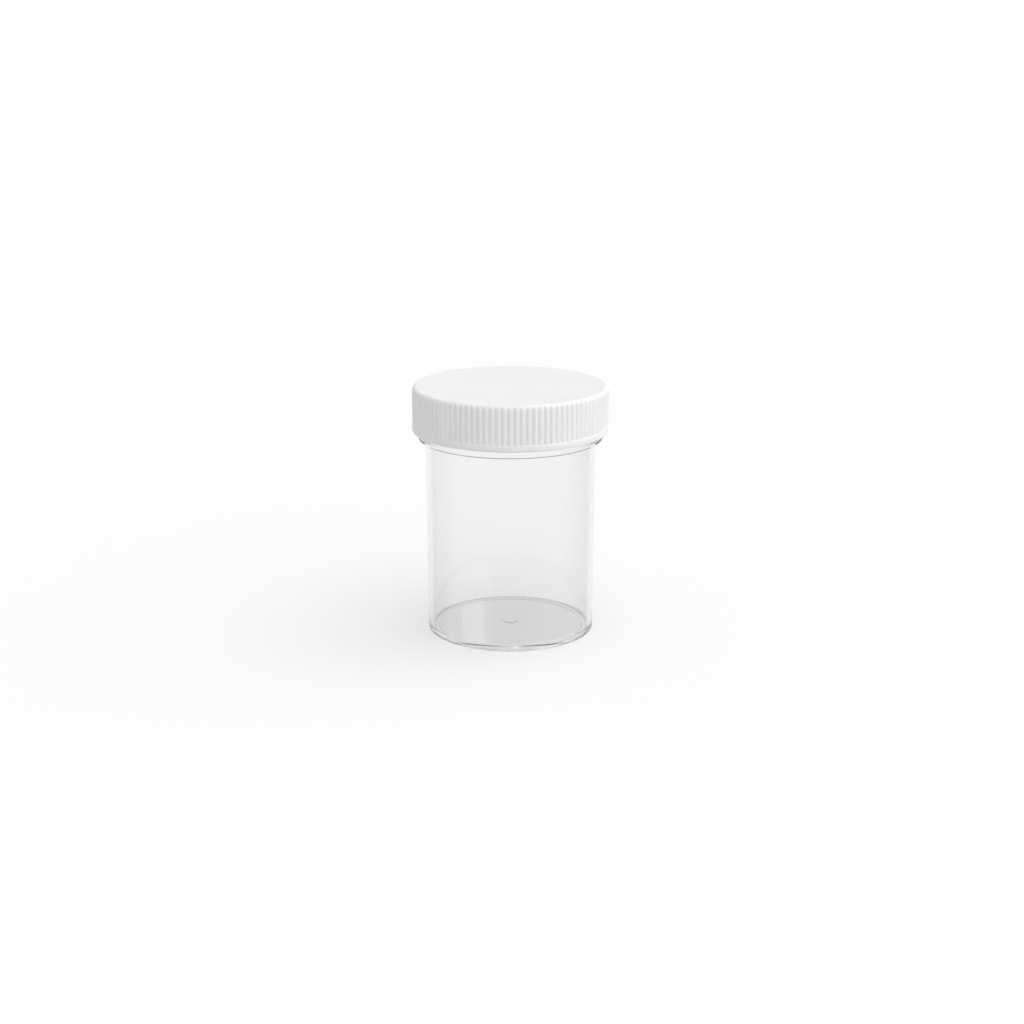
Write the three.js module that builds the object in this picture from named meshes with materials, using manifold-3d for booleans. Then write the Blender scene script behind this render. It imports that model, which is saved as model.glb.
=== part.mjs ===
// A slide staining jar: a clear, straight-sided polystyrene jar with a ribbed white screw cap
// and a loose sealing disc inside the cap.
// Millimetres, +Z up, origin at the centre of the ring that it stands on.

import * as THREE from 'three';
import { mergeVertices } from 'three/addons/utils/BufferGeometryUtils.js';
import Module from 'manifold-3d';

// ---- Driving dimensions ---------------------------------------------------

// Whole jar
const overallHeight = 84.5;       // standing, with the cap screwed down

// Body
const bodyRadius = 28.2;          // outside of the wall where it meets the foot
const bodyDraft = 0.006;          // radius gained per millimetre of height
const wallThickness = 1.6;
const floorThickness = 1.6;
const footRounding = 0.6;         // outer edge that the jar stands inside
const floorRounding = 0.9;        // inner corner of wall and floor

// Underside, raised inside the ring that the jar stands on
const recessRadius = 24.6;
const recessDepth = 0.35;
const recessSlope = 0.1;          // how far it narrows towards its flat

// Moulding gate at the middle of the floor: a dimple outside, and a low pad opposite it inside
const gateWellRadius = 3.05;
const gateWellDepth = 0.1;
const gateWellSlope = 0.15;       // how far it narrows towards its flat
const gatePadRadius = 3.05;
const gatePadHeight = 0.25;
const gatePadSlope = 0.45;        // how far it narrows towards its flat

// Neck, with a bead round its foot that stands out as far as the thread
const neckStep = 1.35;            // how far the neck stands out from the wall below it
const beadShowing = 2.6;          // bead left bare between the cap and the body
const beadInCap = 0.35;           // how far the bead reaches up inside the cap
const beadRounding = 0.2;         // lower edge
const beadChamfer = 0.35;         // upper edge
const rimRounding = 0.6;

// Cap
const capTopThickness = 1.5;
const capHeight = 15.2;
const capWall = 1.1;              // skirt wall behind a groove
const capCornerRounding = 1.5;
const capLowerRounding = 0.5;
const plainBand = 2.05;           // smooth band below the grooves
const bandProud = 0.1;            // how far the band stands out from the ribs
const ribCount = 102;
const grooveDepth = 0.45;
const grooveMouth = 1.1;          // width at the outside of the skirt
const grooveFloor = 0.4;

// Sealing disc
const discThickness = 1;
const discEdgeClearance = 0.35;   // to the inside of the skirt

// Thread, the same right-hand helix on the neck and in the cap
const threadPitch = 25.4 / 6;     // six turns to the inch
const threadDepth = 1.1;
const flankRun = 0.5;             // how far each flank leans along the axis over that depth
const neckThreadTurns = 1.25;
const neckThreadCrest = 1.3;      // width along the axis
const neckThreadInset = 2.4;      // from the rim to the middle of the thread's upper end
const capThreadCrest = 0.9;
const capThreadInset = 2;         // from the skirt's edge to the middle of its lower end
const threadRunOut = 1 / 12;      // turns over which the crest dies away at either end
const threadEndShare = 0.15;      // share of the depth that is left where it ends

// Clearances
const seatClearance = 0.3;        // between faces that press together in use
const threadClearance = 0.3;      // thread crest to the wall that it faces
const flankClearance = 0.3;       // between the flanks that bear on each other

// Facets
const jarSides = 72;
const threadSidesPerTurn = 48;
const largeRoundFacets = 4;
const smallRoundFacets = 2;
const overlap = 0.4;              // how far a joined solid reaches into its host

// ---- Sizes that follow ----------------------------------------------------

const discTop = overallHeight - capTopThickness - seatClearance;
const discBottom = discTop - discThickness;
const rimHeight = discBottom - seatClearance;
const skirtBottom = overallHeight - capHeight;
const bandTop = skirtBottom + plainBand;
const beadBottom = skirtBottom - beadShowing;
const beadTop = skirtBottom + beadInCap;

const neckRadius = bodyRadiusAt(beadBottom) + neckStep;
const neckThreadRadius = neckRadius + threadDepth;
const capBore = neckThreadRadius + threadClearance;
const capThreadRadius = neckRadius + threadClearance;
const grooveRadius = capBore + capWall;
const ribRadius = grooveRadius + grooveDepth;
const bandRadius = ribRadius + bandProud;
const discRadius = capBore - discEdgeClearance;

const neckThreadTop = rimHeight - neckThreadInset;
const capThreadTop = neckThreadTop - threadSpacing();
const capThreadTurns = (capThreadTop - skirtBottom - capThreadInset) / threadPitch;

function bodyRadiusAt(height) {
  return bodyRadius + bodyDraft * height;
}

function boreRadiusAt(height) {
  return bodyRadiusAt(height) - wallThickness;
}

// Height from the middle of the neck's thread down to the middle of the cap's thread, with the
// cap screwed down so that its thread bears on the underside of the neck's. It is taken where
// the cap's crest runs; the flanks lean alike, so it holds all the way across them.
function threadSpacing() {
  const flankLeft = flankRun * (1 - threadClearance / threadDepth);
  return neckThreadCrest / 2 + flankLeft + capThreadCrest / 2 + flankClearance;
}

// ---- Solids ---------------------------------------------------------------

const wasm = await Module();
wasm.setup();

// Corners of a geometry's triangles after its shared vertices are merged, without the slivers
// that a revolved profile leaves where it touches the axis.
function triangleCorners(geometry) {
  const index = geometry.index.array;
  const corners = [];
  for (let i = 0; i < index.length; i += 3) {
    const [a, b, c] = [index[i], index[i + 1], index[i + 2]];
    if (a !== b && b !== c && c !== a) corners.push(a, b, c);
  }
  return corners;
}

function solidFrom(geometry) {
  geometry.deleteAttribute('normal');
  geometry.deleteAttribute('uv');
  const merged = mergeVertices(geometry, 1e-4);
  return new wasm.Manifold(new wasm.Mesh({
    numProp: 3,
    vertProperties: Float32Array.from(merged.attributes.position.array),
    triVerts: Uint32Array.from(triangleCorners(merged)),
  }));
}

function geometryFrom(solid) {
  const mesh = solid.getMesh();
  const geometry = new THREE.BufferGeometry();
  geometry.setAttribute('position', new THREE.BufferAttribute(mesh.vertProperties, 3));
  geometry.setIndex(new THREE.BufferAttribute(mesh.triVerts, 1));
  geometry.computeVertexNormals();
  return geometry;
}

// Solid turned from a profile of (radius, height) that starts and ends on the axis.
function turned(profile, sides) {
  const geometry = new THREE.LatheGeometry(profile.getPoints(), sides);
  geometry.rotateX(Math.PI / 2);
  return solidFrom(geometry);
}

// Quarter round added to a profile, given its centre, its radius, the angle that it starts at
// and whether it turns a quarter forwards (1) or back (-1).
function quarterRound(profile, x, y, radius, startDegrees, facets, sense = 1) {
  for (let i = 0; i <= facets; i += 1) {
    const angle = THREE.MathUtils.degToRad(startDegrees + sense * 90 * i / facets);
    profile.lineTo(x + radius * Math.cos(angle), y + radius * Math.sin(angle));
  }
}

// ---- Threads --------------------------------------------------------------

// Ridge of a thread as a straight bar, in (radius, height along the axis), that is bent into a
// right-hand helix running down from its upper end.
function threadRidge({ rootRadius, crestRadius, crestWidth, turns, top }) {
  const outward = Math.sign(crestRadius - rootRadius);
  const buried = rootRadius - outward * overlap;
  const halfCrest = crestWidth / 2;
  const halfRoot = halfCrest + flankRun;
  const section = new THREE.Shape();
  section.moveTo(buried, -halfRoot);
  section.lineTo(rootRadius, -halfRoot);
  section.lineTo(crestRadius, -halfCrest);
  section.lineTo(crestRadius, halfCrest);
  section.lineTo(rootRadius, halfRoot);
  section.lineTo(buried, halfRoot);

  const steps = Math.round(turns * threadSidesPerTurn);
  const bar = new THREE.ExtrudeGeometry(section, { depth: turns, steps, bevelEnabled: false });
  const points = bar.attributes.position;
  for (let i = 0; i < points.count; i += 1) {
    const turn = points.getZ(i);
    const angle = -turn * 2 * Math.PI;
    const height = ridgeHeight(turn, turns);
    const beyondRoot = Math.max(0, outward * (points.getX(i) - rootRadius));
    const radius = points.getX(i) - outward * beyondRoot * (1 - height);
    const z = top + points.getY(i) - turn * threadPitch;
    points.setXYZ(i, radius * Math.cos(angle), radius * Math.sin(angle), z);
  }
  return solidFrom(bar);
}

// Share of the full thread depth at a place along the thread.
function ridgeHeight(turn, turns) {
  const fromEnd = Math.min(turn, turns - turn);
  return THREE.MathUtils.lerp(threadEndShare, 1, Math.min(1, fromEnd / threadRunOut));
}

// ---- Jar ------------------------------------------------------------------

function jarProfile() {
  const rimStart = rimHeight - rimRounding;
  const floorCorner = floorThickness + floorRounding;
  const wellTop = recessDepth + gateWellDepth;
  const padTop = floorThickness + gatePadHeight;
  const profile = new THREE.Path();
  profile.moveTo(0, wellTop);
  profile.lineTo(gateWellRadius - gateWellSlope, wellTop);
  profile.lineTo(gateWellRadius, recessDepth);
  profile.lineTo(recessRadius - recessSlope, recessDepth);
  profile.lineTo(recessRadius, 0);
  quarterRound(profile, bodyRadius - footRounding, footRounding, footRounding, -90,
    largeRoundFacets);
  profile.lineTo(bodyRadiusAt(beadBottom), beadBottom);
  quarterRound(profile, neckThreadRadius - beadRounding, beadBottom + beadRounding,
    beadRounding, -90, smallRoundFacets);
  profile.lineTo(neckThreadRadius, beadTop - beadChamfer);
  profile.lineTo(neckThreadRadius - beadChamfer, beadTop);
  profile.lineTo(neckRadius, beadTop);
  quarterRound(profile, neckRadius - rimRounding, rimStart, rimRounding, 0, smallRoundFacets);
  quarterRound(profile, boreRadiusAt(rimStart) + rimRounding, rimStart, rimRounding, 90,
    smallRoundFacets);
  quarterRound(profile, boreRadiusAt(floorCorner) - floorRounding, floorCorner, floorRounding,
    0, smallRoundFacets, -1);
  profile.lineTo(gatePadRadius, floorThickness);
  profile.lineTo(gatePadRadius - gatePadSlope, padTop);
  profile.lineTo(0, padTop);
  return profile;
}

function jarSolid() {
  const thread = threadRidge({
    rootRadius: neckRadius,
    crestRadius: neckThreadRadius,
    crestWidth: neckThreadCrest,
    turns: neckThreadTurns,
    top: neckThreadTop,
  });
  return turned(jarProfile(), jarSides).add(thread);
}

// ---- Cap ------------------------------------------------------------------

function capProfile() {
  const underside = overallHeight - capTopThickness;
  const profile = new THREE.Path();
  profile.moveTo(0, underside);
  profile.lineTo(capBore, underside);
  profile.lineTo(capBore, skirtBottom);
  quarterRound(profile, bandRadius - capLowerRounding, skirtBottom + capLowerRounding,
    capLowerRounding, -90, smallRoundFacets);
  profile.lineTo(bandRadius, bandTop - bandProud);
  profile.lineTo(ribRadius, bandTop);
  quarterRound(profile, ribRadius - capCornerRounding, overallHeight - capCornerRounding,
    capCornerRounding, 0, largeRoundFacets);
  profile.lineTo(0, overallHeight);
  return profile;
}

// One groove between two ribs, from the plain band up, and then leaning in to cut across the
// rounded corner as deep as it cuts the skirt.
function grooveCutter() {
  const mouthRadius = ribRadius + overlap;
  const mouthWidth = grooveMouth + (grooveMouth - grooveFloor) * overlap / grooveDepth;
  const section = new THREE.Shape();
  section.moveTo(0, -grooveFloor / 2);
  section.lineTo(mouthRadius - grooveRadius, -mouthWidth / 2);
  section.lineTo(mouthRadius - grooveRadius, mouthWidth / 2);
  section.lineTo(0, grooveFloor / 2);

  const rise = overallHeight - bandTop + overlap;
  const upright = new THREE.ExtrudeGeometry(section, { depth: rise, bevelEnabled: false });
  upright.translate(grooveRadius, 0, bandTop);

  const cut = 2 * (overallHeight - leanStart());
  const leaning = new THREE.ExtrudeGeometry(section, { depth: cut, bevelEnabled: false });
  leaning.rotateY(-Math.PI / 4);
  leaning.translate(grooveRadius, 0, leanStart());
  return solidFrom(upright).add(solidFrom(leaning));
}

// Height where a groove's floor starts to lean in at 45 degrees, to lie as far below the middle
// of the rounded corner as it lies behind the ribs.
function leanStart() {
  const cornerCut = capCornerRounding * (2 - Math.SQRT2);
  return overallHeight - cornerCut - grooveDepth * (Math.SQRT2 - 1);
}

function capSolid() {
  const thread = threadRidge({
    rootRadius: capBore,
    crestRadius: capThreadRadius,
    crestWidth: capThreadCrest,
    turns: capThreadTurns,
    top: capThreadTop,
  });
  const groove = grooveCutter();
  let cap = turned(capProfile(), ribCount).add(thread);
  for (let i = 0; i < ribCount; i += 1) {
    cap = cap.subtract(groove.rotate([0, 0, i * 360 / ribCount]));
  }
  return cap;
}

// ---- Sealing disc ---------------------------------------------------------

function discGeometry() {
  const geometry = new THREE.CylinderGeometry(discRadius, discRadius, discThickness, jarSides);
  geometry.rotateX(Math.PI / 2);
  geometry.translate(0, 0, (discTop + discBottom) / 2);
  return geometry;
}

// ---- Assembly -------------------------------------------------------------

const clearPolystyrene = new THREE.MeshStandardMaterial({
  color: '#eef1f2',
  roughness: 0.05,
  metalness: 0,
  transparent: true,
  opacity: 0.3,
});

const whitePolypropylene = new THREE.MeshStandardMaterial({
  color: '#f2f2f3',
  roughness: 0.5,
  metalness: 0,
});

const whiteFoam = new THREE.MeshStandardMaterial({
  color: '#ebebe8',
  roughness: 0.9,
  metalness: 0,
});

function named(name, geometry, material) {
  const mesh = new THREE.Mesh(geometry, material);
  mesh.name = name;
  return mesh;
}

const stainingJar = new THREE.Group();
stainingJar.add(
  named('jar', geometryFrom(jarSolid()), clearPolystyrene),
  named('cap', geometryFrom(capSolid()), whitePolypropylene),
  named('cap_liner', discGeometry(), whiteFoam),
);

export default stainingJar;
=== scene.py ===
import bmesh
import bpy
import math
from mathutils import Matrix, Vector


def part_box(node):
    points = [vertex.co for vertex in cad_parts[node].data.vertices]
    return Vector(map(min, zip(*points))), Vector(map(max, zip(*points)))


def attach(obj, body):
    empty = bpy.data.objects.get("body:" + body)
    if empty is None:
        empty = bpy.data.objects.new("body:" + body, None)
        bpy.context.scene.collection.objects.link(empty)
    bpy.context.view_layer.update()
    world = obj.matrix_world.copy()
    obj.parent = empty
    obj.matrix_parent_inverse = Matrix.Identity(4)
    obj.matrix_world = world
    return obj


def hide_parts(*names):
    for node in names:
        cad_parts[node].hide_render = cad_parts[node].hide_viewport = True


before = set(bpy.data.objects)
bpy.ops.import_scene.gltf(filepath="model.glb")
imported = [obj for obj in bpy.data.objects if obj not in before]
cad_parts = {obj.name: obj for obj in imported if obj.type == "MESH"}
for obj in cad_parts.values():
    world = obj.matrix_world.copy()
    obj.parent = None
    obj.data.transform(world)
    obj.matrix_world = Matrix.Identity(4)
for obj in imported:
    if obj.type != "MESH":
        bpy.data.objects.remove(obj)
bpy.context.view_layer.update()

mm = 0.001
capLow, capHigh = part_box("cap")
jarLow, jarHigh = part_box("jar")
linerLow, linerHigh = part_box("cap_liner")

sameSpot = 0.002 * mm              # a corner of an outline is found again this close to its place
mergeDistance = 0.0005 * mm        # and points closer together than this become one
flatFaceWeight = 60                # how strongly a large face sets the direction of its corners


# modelling helpers

def pick(kind, test):
    # in edit mode, selects just the vertices, edges or faces whose middle passes the test
    bpy.ops.mesh.select_mode(type=kind)
    bpy.ops.mesh.select_all(action="DESELECT")
    mesh = bmesh.from_edit_mesh(bpy.context.object.data)
    parts = {"VERT": mesh.verts, "EDGE": mesh.edges, "FACE": mesh.faces}[kind]
    for part in parts:
        if kind == "VERT":
            middle = part.co
        elif kind == "EDGE":
            middle = (part.verts[0].co + part.verts[1].co) / 2
        else:
            middle = part.calc_center_median()
        part.select_set(test(middle))
    mesh.select_flush_mode()
    bmesh.update_edit_mesh(bpy.context.object.data)


def drawProfile(name, corners):
    # one vertex is pulled from corner to corner in the XZ plane, then the corners are rounded
    # a corner is (radius, height) or (radius, height, rounding, facets)
    bpy.ops.object.select_all(action="DESELECT")
    bpy.ops.mesh.primitive_plane_add(size=mm, location=(0, 0, 0))
    piece = bpy.context.object
    piece.name = name
    piece.data.name = name
    bpy.ops.object.mode_set(mode="EDIT")
    bpy.ops.mesh.select_all(action="SELECT")
    bpy.ops.mesh.merge(type="CENTER")
    bpy.ops.transform.translate(value=(corners[0][0], 0, corners[0][1]))
    for start, end in zip(corners, corners[1:]):
        step = (end[0] - start[0], 0, end[1] - start[1])
        bpy.ops.mesh.extrude_region_move(TRANSFORM_OT_translate={"value": step})
    for corner in corners:
        if len(corner) > 2:
            spot = Vector((corner[0], 0, corner[1]))
            pick("VERT", lambda place: (place - spot).length < sameSpot)
            bpy.ops.mesh.bevel(offset=corner[2], segments=corner[3], affect="VERTICES")
    return piece


def spinRound(sides):
    # turns the open profile all the way round the Z axis and closes the seam and the poles
    bpy.ops.mesh.select_mode(type="VERT")
    bpy.ops.mesh.select_all(action="SELECT")
    bpy.ops.mesh.spin(steps=sides, angle=2 * math.pi, center=(0, 0, 0), axis=(0, 0, 1))
    bpy.ops.mesh.select_all(action="SELECT")
    bpy.ops.mesh.remove_doubles(threshold=mergeDistance)
    bpy.ops.mesh.normals_make_consistent(inside=False)


def applyModifier(piece, kind, **settings):
    modifier = piece.modifiers.new(kind.title(), kind)
    for name, value in settings.items():
        setattr(modifier, name, value)
    bpy.context.view_layer.objects.active = piece
    bpy.ops.object.modifier_apply(modifier=modifier.name)


thread = {
    "stepsPerTurn": 144,
    "crestRounding": 0.25 * mm,
    "fadingSteps": 12,             # steps over which the crest dies away at either end
    "endShare": 0.15,              # share of its depth that is left where it ends
    "buried": 0.4 * mm,            # how far its root reaches into the wall that carries it
}


def helixPlace(place, pitch, top):
    # how many turns up the thread a point lies, from the level that the thread reaches at angle zero
    angle = math.atan2(place.y, place.x) / (2 * math.pi)
    return angle + round((place.z - top) / pitch - angle)


def threadRidge(name, root, crest, crestWidth, flankRun, pitch, turns, top):
    # bar of a thread, wound up to its upper end at angle zero, with both ends dying away
    half = crestWidth / 2
    inside = root - math.copysign(thread["buried"], crest - root)
    bottom = top - turns * pitch
    ridge = drawProfile(name, [
        (inside, bottom - half - flankRun),
        (root, bottom - half - flankRun),
        (crest, bottom - half, thread["crestRounding"], 3),
        (crest, bottom + half, thread["crestRounding"], 3),
        (root, bottom + half + flankRun),
        (inside, bottom + half + flankRun),
        (inside, bottom - half - flankRun),
    ])
    bpy.ops.mesh.select_all(action="SELECT")
    bpy.ops.mesh.remove_doubles(threshold=mergeDistance)
    bpy.ops.object.mode_set(mode="OBJECT")
    steps = round(turns * thread["stepsPerTurn"])
    applyModifier(ridge, "SCREW", angle=turns * 2 * math.pi, screw_offset=turns * pitch,
                  steps=steps, render_steps=steps, use_smooth_shade=False)
    ridge.rotation_euler = (0, 0, -turns * 2 * math.pi)
    bpy.ops.object.transform_apply(location=False, rotation=True, scale=False)
    bpy.ops.object.mode_set(mode="EDIT")
    bpy.ops.mesh.select_all(action="SELECT")
    bpy.ops.mesh.fill_holes(sides=0)
    bpy.ops.mesh.select_all(action="SELECT")
    bpy.ops.mesh.normals_make_consistent(inside=False)
    # the crest sinks towards the root over the last steps at either end
    step = 1 / thread["stepsPerTurn"]
    left = thread["endShare"]
    for i in range(thread["fadingSteps"]):
        share = left + (1 - left) * math.sin(math.pi / 2 * i / thread["fadingSteps"])
        ends = (-turns + i * step, -i * step)

        def onCrest(place):
            if (math.hypot(place.x, place.y) - root) * (crest - root) <= 1e-12:
                return False
            turn = helixPlace(place, pitch, top)
            return min(abs(turn - end) for end in ends) < 0.2 * step

        pick("VERT", onCrest)
        squeeze = (root + (crest - root) * share) / crest
        bpy.ops.transform.resize(value=(squeeze, squeeze, 1), center_override=(0, 0, 0))
    bpy.ops.object.mode_set(mode="OBJECT")
    return ridge


def joinRidge(piece, ridge):
    bpy.ops.object.select_all(action="DESELECT")
    applyModifier(piece, "BOOLEAN", operation="UNION", solver="MANIFOLD", object=ridge)
    bpy.data.objects.remove(ridge)


def finishPiece(piece, body, node, material, smoothAngle):
    bpy.ops.object.select_all(action="DESELECT")
    piece.select_set(True)
    bpy.context.view_layer.objects.active = piece
    bpy.ops.object.shade_smooth_by_angle(angle=math.radians(smoothAngle))
    # the long flat faces keep their own direction, so only the roundings bend the light
    applyModifier(piece, "WEIGHTED_NORMAL", keep_sharp=True, weight=flatFaceWeight)
    piece.data.materials.clear()
    piece.data.materials.append(material)
    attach(piece, body)
    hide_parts(node)
    print("piece", piece.name, len(piece.data.polygons), "faces")


# material helpers

def hexColour(code):
    # sRGB hex to the linear values that the shaders work in
    channels = [int(code[i:i + 2], 16) / 255 for i in (1, 3, 5)]
    return [c / 12.92 if c <= 0.04045 else ((c + 0.055) / 1.055) ** 2.4 for c in channels] + [1]


def node(tree, kind, values={}, feeds={}, **settings):
    made = tree.nodes.new("ShaderNode" + kind)
    for name, value in settings.items():
        setattr(made, name, value)
    for socket, value in values.items():
        made.inputs[socket].default_value = value
    for socket, source in feeds.items():
        tree.links.new(source, made.inputs[socket])
    return made


def newMaterial(name):
    material = bpy.data.materials.new(name)
    material.use_nodes = True
    material.node_tree.nodes.clear()
    return material, material.node_tree


# materials

polystyrene = {
    "colour": "#f9f9f9",
    "paintedEdgeShade": "#e0e0e0",      # painted shade: the glass tint darkens to this where the wall slants away from view
    "refraction": 1.59,
    "depthColour": "#808080",      # what is left of white after the depth below
    "clearDepth": 600 * mm,
    "shadowColour": "#f7f7f7",     # what a lamp's light keeps at each surface it crosses
    "roughness": (0.0, 0.03),
    "flowLength": 22 * mm,         # faint waves left as the melt runs up the wall
    "flowDepth": 0.0025 * mm,
    "handling": 3 * mm,            # patches that are a little less glossy from handling
}

polypropylene = {
    "colour": "#f4f4f4",
    "shade": "#f1f1f2",
    "refraction": 1.49,
    "roughness": (0.38, 0.48),
    "milkiness": 0.1,              # share of the light that goes into the plastic and spreads
    "milkDepth": 0.6 * mm,
    "grain": 0.35 * mm,            # the spark-eroded skin, drawn coarse enough to show
    "grainDepth": 0.006 * mm,
    "cloud": 14 * mm,              # slow drift between the two colours
}

foam = {
    "colour": "#f6f6f3",
    "shade": "#efefeb",
    "cell": 0.45 * mm,
    "cellDepth": 0.03 * mm,
    "roughness": 0.85,
}


def clearPolystyrene():
    # crystal polystyrene, injection moulded in a polished steel mould: glassy, hard-edged
    # highlights, with faint upright waves where the melt ran up the wall
    material, tree = newMaterial("clearPolystyrene")
    place = node(tree, "TexCoord").outputs["Object"]
    stretched = node(tree, "Mapping", {"Scale": (1, 1, 0.25)}, {"Vector": place})
    waves = node(tree, "TexNoise", {"Scale": 1 / polystyrene["flowLength"], "Detail": 2, "Roughness": 0.4},
                 {"Vector": stretched.outputs["Vector"]})
    handling = node(tree, "TexNoise", {"Scale": 1 / polystyrene["handling"], "Detail": 4}, {"Vector": place})
    low, high = polystyrene["roughness"]
    gloss = node(tree, "MapRange", {"From Min": 0.4, "From Max": 0.8, "To Min": low, "To Max": high},
                 {"Value": handling.outputs["Fac"]})
    relief = node(tree, "Bump", {"Strength": 1, "Distance": polystyrene["flowDepth"]},
                  {"Height": waves.outputs["Fac"]})
    # painted shade: the glass colour is ramped darker by how far the surface faces away, so the jar's edges
    # are shaded in its colour
    slant = node(tree, "LayerWeight", {"Blend": 0.5})
    skin = node(tree, "ValToRGB", {}, {"Fac": slant.outputs["Facing"]})
    skin.color_ramp.elements[0].position = 0.25
    skin.color_ramp.elements[0].color = hexColour(polystyrene["colour"])
    skin.color_ramp.elements[1].position = 1
    skin.color_ramp.elements[1].color = hexColour(polystyrene["paintedEdgeShade"])
    glassy = node(tree, "BsdfPrincipled", {
        "IOR": polystyrene["refraction"],
        "Transmission Weight": 1,
    }, {"Base Color": skin.outputs["Color"], "Roughness": gloss.outputs["Result"],
        "Normal": relief.outputs["Normal"]})
    through = node(tree, "BsdfTransparent", {"Color": hexColour(polystyrene["shadowColour"])})
    path = node(tree, "LightPath")
    lighting = node(tree, "Math", {}, {0: path.outputs["Is Shadow Ray"], 1: path.outputs["Is Diffuse Ray"]},
                    operation="MAXIMUM")
    mixed = node(tree, "MixShader", {}, {
        "Fac": lighting.outputs["Value"], 1: glassy.outputs["BSDF"], 2: through.outputs["BSDF"]})
    density = -math.log(hexColour(polystyrene["depthColour"])[0]) / polystyrene["clearDepth"]
    haze = node(tree, "VolumeAbsorption", {"Color": (0, 0, 0, 1), "Density": density})
    node(tree, "OutputMaterial", {}, {"Surface": mixed.outputs["Shader"], "Volume": haze.outputs["Volume"]})
    return material


def whitePolypropylene():
    # white polypropylene, injection moulded: a satin skin, slightly waxy, that softens the edges
    material, tree = newMaterial("whitePolypropylene")
    place = node(tree, "TexCoord").outputs["Object"]
    grain = node(tree, "TexNoise", {"Scale": 1 / polypropylene["grain"], "Detail": 3}, {"Vector": place})
    cloud = node(tree, "TexNoise", {"Scale": 1 / polypropylene["cloud"], "Detail": 2}, {"Vector": place})
    tone = node(tree, "ValToRGB", {}, {"Fac": cloud.outputs["Fac"]})
    tone.color_ramp.elements[0].position = 0.35
    tone.color_ramp.elements[0].color = hexColour(polypropylene["shade"])
    tone.color_ramp.elements[1].position = 0.65
    tone.color_ramp.elements[1].color = hexColour(polypropylene["colour"])
    low, high = polypropylene["roughness"]
    gloss = node(tree, "MapRange", {"From Min": 0.3, "From Max": 0.7, "To Min": low, "To Max": high},
                 {"Value": grain.outputs["Fac"]})
    relief = node(tree, "Bump", {"Strength": 0.6, "Distance": polypropylene["grainDepth"]},
                  {"Height": grain.outputs["Fac"]})
    satin = node(tree, "BsdfPrincipled", {
        "IOR": polypropylene["refraction"],
        "Subsurface Weight": polypropylene["milkiness"],
        "Subsurface Radius": (1, 1, 1),
        "Subsurface Scale": polypropylene["milkDepth"],
    }, {"Base Color": tone.outputs["Color"], "Roughness": gloss.outputs["Result"],
        "Normal": relief.outputs["Normal"]})
    node(tree, "OutputMaterial", {}, {"Surface": satin.outputs["BSDF"]})
    return material


def whiteFoam():
    # expanded polyethylene foam, die cut from sheet: matt, with small closed cells
    material, tree = newMaterial("whiteFoam")
    place = node(tree, "TexCoord").outputs["Object"]
    cells = node(tree, "TexVoronoi", {"Scale": 1 / foam["cell"]}, {"Vector": place}, feature="F1")
    tone = node(tree, "ValToRGB", {}, {"Fac": cells.outputs["Distance"]})
    tone.color_ramp.elements[0].color = hexColour(foam["colour"])
    tone.color_ramp.elements[1].color = hexColour(foam["shade"])
    relief = node(tree, "Bump", {"Strength": 0.7, "Distance": foam["cellDepth"]},
                  {"Height": cells.outputs["Distance"]}, invert=True)
    matt = node(tree, "BsdfPrincipled", {"Roughness": foam["roughness"]}, {
        "Base Color": tone.outputs["Color"], "Normal": relief.outputs["Normal"]})
    node(tree, "OutputMaterial", {}, {"Surface": matt.outputs["BSDF"]})
    return material


# jar

jar = {
    "footRadius": 28.2 * mm,       # outside of the wall at the foot
    "lean": 0.006,                 # the wall gains this share of its height in radius
    "wall": 1.6 * mm,
    "floor": 1.6 * mm,
    "footRounding": 0.6 * mm,
    "floorRounding": 0.9 * mm,
    "neckStep": 1.35 * mm,
    "beadShowing": 2.6 * mm,       # bead left bare between the cap and the body
    "beadInCap": 0.35 * mm,
    "beadRounding": 0.2 * mm,      # lower edge
    "beadChamfer": 0.35 * mm,      # upper edge
    "underBead": 0.15 * mm,        # rounding in the corner below it
    "overBead": 0.1 * mm,          # and above it
    "rimRounding": 0.6 * mm,
    "recessRadius": 24.6 * mm,     # underside, raised a little inside the ring it stands on
    "recessDepth": 0.35 * mm,
    "recessSlope": 0.1 * mm,
    "recessRounding": 0.08 * mm,
    "gateWellRadius": 3.05 * mm,   # dimple that the moulding gate left in the underside
    "gateWellDepth": 0.1 * mm,
    "gateWellSlope": 0.15 * mm,
    "gatePadRadius": 3.05 * mm,    # low pad opposite it, inside
    "gatePadHeight": 0.25 * mm,
    "gatePadSlope": 0.45 * mm,
    "gatePadRounding": 0.01 * mm,  # keeps the pad's top flat to the light
    "sides": 288,
    "smoothAngle": 30,
    "threadDepth": 1.1 * mm,
    "threadPitch": 25.4 / 6 * mm,
    "threadTurns": 1.25,
    "threadCrest": 1.3 * mm,
    "threadFlank": 0.5 * mm,
    "threadInset": 2.4 * mm,       # from the rim to the middle of the thread's upper end
}

beadBottom = capLow.z - jar["beadShowing"]
beadTop = capLow.z + jar["beadInCap"]
neckRadius = jar["footRadius"] + jar["lean"] * beadBottom + jar["neckStep"]
beadRadius = neckRadius + jar["threadDepth"]


def wallRadius(height):
    return jar["footRadius"] + jar["lean"] * height


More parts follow.
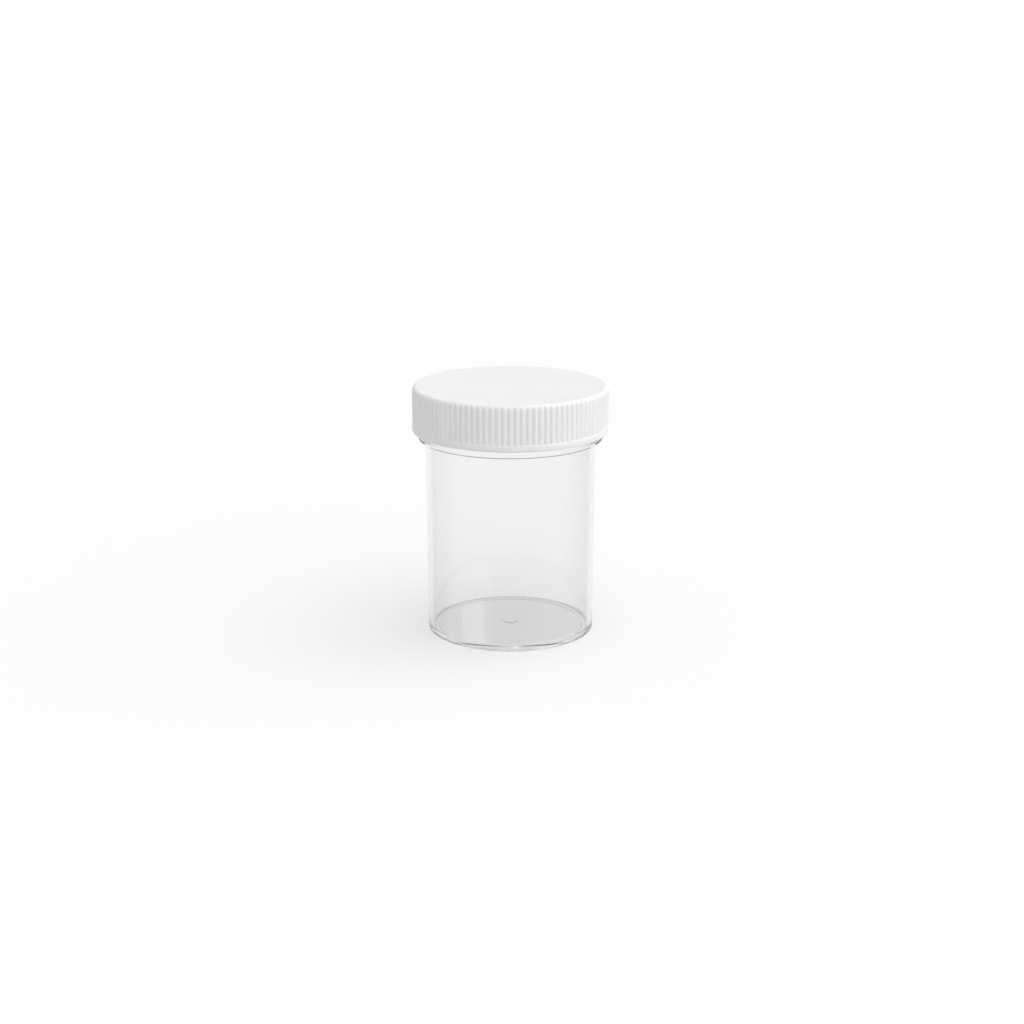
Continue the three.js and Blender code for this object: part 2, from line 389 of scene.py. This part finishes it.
def buildJar():
    rim = jarHigh.z
    boreTop = wallRadius(rim) - jar["wall"]
    boreFoot = wallRadius(jar["floor"]) - jar["wall"]
    wellTop = jar["recessDepth"] + jar["gateWellDepth"]
    padTop = jar["floor"] + jar["gatePadHeight"]
    piece = drawProfile("stainingJar", [
        (0, wellTop),
        (jar["gateWellRadius"] - jar["gateWellSlope"], wellTop),
        (jar["gateWellRadius"], jar["recessDepth"]),
        (jar["recessRadius"] - jar["recessSlope"], jar["recessDepth"], jar["recessRounding"], 3),
        (jar["recessRadius"], 0, jar["recessRounding"], 3),
        (jar["footRadius"], 0, jar["footRounding"], 8),
        (wallRadius(beadBottom), beadBottom, jar["underBead"], 3),
        (beadRadius, beadBottom, jar["beadRounding"], 6),
        (beadRadius, beadTop, jar["beadChamfer"], 3),
        (neckRadius, beadTop, jar["overBead"], 2),
        (neckRadius, rim, jar["rimRounding"], 6),
        (boreTop, rim, jar["rimRounding"], 6),
        (boreFoot, jar["floor"], jar["floorRounding"], 8),
        (jar["gatePadRadius"], jar["floor"]),
        (jar["gatePadRadius"] - jar["gatePadSlope"], padTop, jar["gatePadRounding"], 6),
        (0, padTop),
    ])
    spinRound(jar["sides"])
    bpy.ops.object.mode_set(mode="OBJECT")
    ridge = threadRidge("neckThread", neckRadius, neckRadius + jar["threadDepth"],
                        jar["threadCrest"], jar["threadFlank"], jar["threadPitch"],
                        jar["threadTurns"], rim - jar["threadInset"])
    joinRidge(piece, ridge)
    finishPiece(piece, "jar", "jar", clearPolystyrene(), jar["smoothAngle"])


# cap

cap = {
    "topThickness": 1.5 * mm,
    "ribs": 102,
    "ribDepth": 0.45 * mm,
    "phases": 10,                  # columns of faces to a rib
    "smoothAngle": 40,
    "plainBand": 2.05 * mm,
    "bandProud": 0.1 * mm,         # how far the smooth band stands out from the ribs
    "runOut": 0.5 * mm,            # the grooves rise out of the skirt over this height
    "grooveEnd": 0.8,              # where they end on the top corner, as a slope from the upright
    "corner": 1.5 * mm,
    "lowerCorner": 0.5 * mm,
    "bandCorner": 0.05 * mm,       # upper edge of the smooth band
    "innerCorner": 0.4 * mm,
    "lip": 0.2 * mm,               # inner edge of the skirt's foot
    "upright": 0.2 * mm,           # of the skirt, straight below the top corner
    "threadClearance": 0.3 * mm,
    "threadCrest": 0.9 * mm,
    "threadInset": 2 * mm,         # from the lower edge to the middle of the thread's lower end
    "threadDrop": 1.764 * mm,      # from the neck's thread down to the cap's
}

exactly = 0.0001 * mm              # a ring of vertices is told from the next within this


def shapeRibs(radius):
    # every column of vertices is one of a few places across a rib, and is pressed in square to
    # the skirt or its rounded corner as far as a round-backed rib falls there
    half = math.pi * radius / cap["ribs"]
    back = (half ** 2 + cap["ribDepth"] ** 2) / (2 * cap["ribDepth"])
    bandTop = capLow.z + cap["plainBand"]
    turnIn = Vector((radius - cap["corner"], capHigh.z - cap["corner"]))
    columns = cap["ribs"] * cap["phases"]
    rings = {}
    for vertex in bmesh.from_edit_mesh(bpy.context.object.data).verts:
        reach = math.hypot(vertex.co.x, vertex.co.y)
        if vertex.co.z > bandTop + 10 * exactly and reach > turnIn.x + 10 * exactly:
            rings.setdefault((round(reach, 7), round(vertex.co.z, 7)), (reach, vertex.co.z))
    for phase in range(cap["phases"] // 2):
        across = half * (1 - 2 * phase / cap["phases"])
        fall = back - math.sqrt(back ** 2 - across ** 2)
        for reach, height in sorted(rings.values()):
            rise = min(1, (height - bandTop) / cap["runOut"])
            out = Vector((reach, max(height, turnIn.y))) - turnIn
            out.normalize()
            fade = min(1, max(0, (cap["grooveEnd"] - out.y) / cap["grooveEnd"]) * 2)
            depth = fall * rise * rise * (3 - 2 * rise) * fade
            lowered = min(depth * out.y, capHigh.z - turnIn.y)

            def inPhase(place):
                offRing = abs(math.hypot(place.x, place.y) - reach)
                if abs(place.z - height) > exactly or offRing > exactly:
                    return False
                column = round(math.atan2(place.y, place.x) / (2 * math.pi) * columns)
                return column % cap["phases"] in (phase, -phase % cap["phases"])

            pick("VERT", inPhase)
            squeeze = 1 - depth * out.x / reach
            bpy.ops.transform.resize(value=(squeeze, squeeze, 1), center_override=(0, 0, 0))
            bpy.ops.transform.translate(value=(0, 0, -lowered))


def buildCap():
    bandRadius = min(capHigh.x, capHigh.y)
    ribRadius = bandRadius - cap["bandProud"]
    bore = beadRadius + cap["threadClearance"]
    underside = capHigh.z - cap["topThickness"]
    bandTop = capLow.z + cap["plainBand"]
    steps = [bandTop + cap["runOut"] * i / 4 for i in range(1, 5)]
    piece = drawProfile("screwCap", [
        (0, underside),
        (bore, underside, cap["innerCorner"], 3),
        (bore, capLow.z, cap["lip"], 2),
        (bandRadius, capLow.z, cap["lowerCorner"], 5),
        (bandRadius, bandTop - cap["bandProud"], cap["bandCorner"], 2),
        (ribRadius, bandTop),
        *[(ribRadius, height) for height in steps],
        (ribRadius, capHigh.z - cap["corner"] - cap["upright"]),
        (ribRadius, capHigh.z, cap["corner"], 12),
        (0, capHigh.z),
    ])
    spinRound(cap["ribs"] * cap["phases"])
    shapeRibs(ribRadius)
    bpy.ops.object.mode_set(mode="OBJECT")
    print("ribs shaped")
    top = jarHigh.z - jar["threadInset"] - cap["threadDrop"]
    turns = (top - capLow.z - cap["threadInset"]) / jar["threadPitch"]
    ridge = threadRidge("capThread", bore, neckRadius + cap["threadClearance"],
                        cap["threadCrest"], jar["threadFlank"], jar["threadPitch"],
                        turns, top)
    joinRidge(piece, ridge)
    finishPiece(piece, "cap", "cap", whitePolypropylene(), cap["smoothAngle"])


# liner

liner = {
    "edgeRounding": 0.15 * mm,
    "pressed": 0.06 * mm,          # ring that the jar's rim has pressed into the underside
    "pressedMargin": 0.1 * mm,     # from either face of the neck's wall to where the ring starts
    "pressedSlope": 0.4 * mm,      # how far its sides run
    "pressedRounding": 0.1 * mm,
    "sides": 192,
    "smoothAngle": 30,
}


def buildLiner():
    radius = min(linerHigh.x, linerHigh.y)
    bore = wallRadius(jarHigh.z) - jar["wall"]
    pressed = linerLow.z + liner["pressed"]
    start = liner["pressedMargin"]
    full = start + liner["pressedSlope"]
    soft = liner["pressedRounding"]
    piece = drawProfile("sealingDisc", [
        (0, linerLow.z),
        (bore + start, linerLow.z, soft, 2),
        (bore + full, pressed, soft, 2),
        (neckRadius - full, pressed, soft, 2),
        (neckRadius - start, linerLow.z, soft, 2),
        (radius, linerLow.z, liner["edgeRounding"], 3),
        (radius, linerHigh.z, liner["edgeRounding"], 3),
        (0, linerHigh.z),
    ])
    spinRound(liner["sides"])
    bpy.ops.object.mode_set(mode="OBJECT")
    finishPiece(piece, "liner", "cap_liner", whiteFoam(), liner["smoothAngle"])


# studio

studio = {
    "sweep": 14,                   # metres across
    "below": 0.02 * mm,            # the sweep lies this far under the jar's foot
    "background": 0.99,            # the pale sweep as it shows
    "wall": [(1, 0.99), (19, 0.84), (37, 0.7), (90, 0.6)],   # its brightness by elevation
    "slimLamp": 0.3,               # how much brighter a slim upright lamp behind the jar is
    "slimLampAzimuth": (-4.1, -1.9),
    "slimLampEdges": (0.12, 0.06), # degrees over which its left and right edge fade
    "slimLampFoot": (0.1, 0.2),    # it fades in between these heights, as sines
    "floorDiffuse": 0.71,          # share of the floor's light that the shadows take from
    "fill": 0.508,                 # soft light from all round
    "keyStrength": 1.93,
    "keyElevation": 53,
    "keyAzimuth": 20,              # degrees in front of the +X axis
    "keySpread": 95,
}


def seenDirectly(tree):
    # 1 for rays that show the surroundings: to the camera, in a reflection or through the jar
    path = node(tree, "LightPath")
    first = node(tree, "Math", {}, {0: path.outputs["Is Camera Ray"], 1: path.outputs["Is Glossy Ray"]},
                 operation="MAXIMUM")
    either = node(tree, "Math", {}, {0: first.outputs["Value"], 1: path.outputs["Is Transmission Ray"]},
                  operation="MAXIMUM")
    return either.outputs["Value"]


def buildStudio():
    bpy.ops.object.select_all(action="DESELECT")
    bpy.ops.mesh.primitive_plane_add(size=studio["sweep"], location=(0, 0, -studio["below"]))
    floor = bpy.context.object
    floor.name = "paperSweep"
    material, tree = newMaterial("paleSweep")
    lit = studio["floorDiffuse"]
    paper = node(tree, "BsdfDiffuse", {"Color": (lit, lit, lit, 1)})
    glow = node(tree, "Emission", {"Color": (1, 1, 1, 1)})
    level = node(tree, "Math", {1: studio["background"] - lit}, {0: seenDirectly(tree)},
                 operation="MULTIPLY")
    tree.links.new(level.outputs["Value"], glow.inputs["Strength"])
    both = node(tree, "AddShader", {}, {0: paper.outputs["BSDF"], 1: glow.outputs["Emission"]})
    node(tree, "OutputMaterial", {}, {"Surface": both.outputs["Shader"]})
    floor.data.materials.append(material)

    world = bpy.data.worlds.new("studio")
    bpy.context.scene.world = world
    world.use_nodes = True
    tree = world.node_tree
    tree.nodes.clear()
    # the wall is as bright as the sweep at its foot and dims above it, but for one slim lamp
    towards = node(tree, "SeparateXYZ", {}, {0: node(tree, "TexCoord").outputs["Generated"]})
    wall = node(tree, "ValToRGB", {}, {"Fac": towards.outputs["Z"]})
    wall.color_ramp.elements.remove(wall.color_ramp.elements[0])
    for i, (elevation, level) in enumerate(studio["wall"]):
        height = math.sin(math.radians(elevation))
        stop = wall.color_ramp.elements[0] if i == 0 else wall.color_ramp.elements.new(height)
        stop.position = height
        stop.color = (level, level, level, 1)
    sideways = node(tree, "Math", {}, {0: towards.outputs["X"], 1: towards.outputs["Y"]},
                    operation="ARCTAN2")
    low, high = [math.radians(turn) for turn in studio["slimLampAzimuth"]]
    lowFade, highFade = [math.radians(turn) for turn in studio["slimLampEdges"]]
    footLow, footHigh = studio["slimLampFoot"]
    leftEdge = node(tree, "MapRange", {"From Min": low, "From Max": low + lowFade},
                    {"Value": sideways.outputs["Value"]})
    rightEdge = node(tree, "MapRange", {"From Min": high, "From Max": high + highFade,
                                        "To Min": studio["slimLamp"], "To Max": 0},
                     {"Value": sideways.outputs["Value"]})
    above = node(tree, "MapRange", {"From Min": footLow, "From Max": footHigh},
                 {"Value": towards.outputs["Z"]})
    lamp = node(tree, "Math", {}, {0: leftEdge.outputs["Result"], 1: rightEdge.outputs["Result"]},
                operation="MULTIPLY")
    raised = node(tree, "Math", {}, {0: lamp.outputs["Value"], 1: above.outputs["Result"]},
                  operation="MULTIPLY")
    shown = node(tree, "Math", {}, {0: wall.outputs["Color"], 1: raised.outputs["Value"]}, operation="ADD")
    strength = node(tree, "MapRange", {"To Min": studio["fill"]},
                    {"Value": seenDirectly(tree), "To Max": shown.outputs["Value"]})
    sky = node(tree, "Background", {"Color": (1, 1, 1, 1)}, {"Strength": strength.outputs["Result"]})
    node(tree, "OutputWorld", {}, {"Surface": sky.outputs["Background"]})

    bpy.ops.object.light_add(type="SUN", location=(1, -0.7, 1))
    key = bpy.context.object
    key.name = "softKey"
    key.data.energy = studio["keyStrength"]
    key.data.angle = math.radians(studio["keySpread"])
    turn, rise = math.radians(studio["keyAzimuth"]), math.radians(studio["keyElevation"])
    towards = Vector((math.cos(turn) * math.cos(rise), -math.sin(turn) * math.cos(rise), math.sin(rise)))
    key.rotation_euler = towards.to_track_quat("Z", "Y").to_euler()


# camera

camera = {
    "place": (0.000515, -0.62379, 0.21802),
    "tilt": 74.1,                  # degrees up from straight down
    "lens": 67.0,
    "sensor": 36,                  # millimetres wide, as the lens is in millimetres
}


def placeCamera():
    bpy.ops.object.camera_add(location=camera["place"], rotation=(math.radians(camera["tilt"]), 0, 0))
    seen = bpy.context.object
    seen.name = "benchCamera"
    seen.data.lens = camera["lens"]
    seen.data.sensor_width = camera["sensor"]
    seen.data.clip_start = 0.01
    seen.data.clip_end = 50
    bpy.context.scene.camera = seen


buildJar()
print("jar done")
buildCap()
print("cap done")
buildLiner()
print("liner done")
buildStudio()
placeCamera()
bpy.context.scene.view_settings.view_transform = "Standard"
# light runs a long way inside the clear jar, mirrored from face to face
bouncesInJar = 96
bpy.context.scene.cycles.max_bounces = bouncesInJar
bpy.context.scene.cycles.glossy_bounces = bouncesInJar
bpy.context.scene.cycles.transmission_bounces = bouncesInJar
print("studio and camera done")
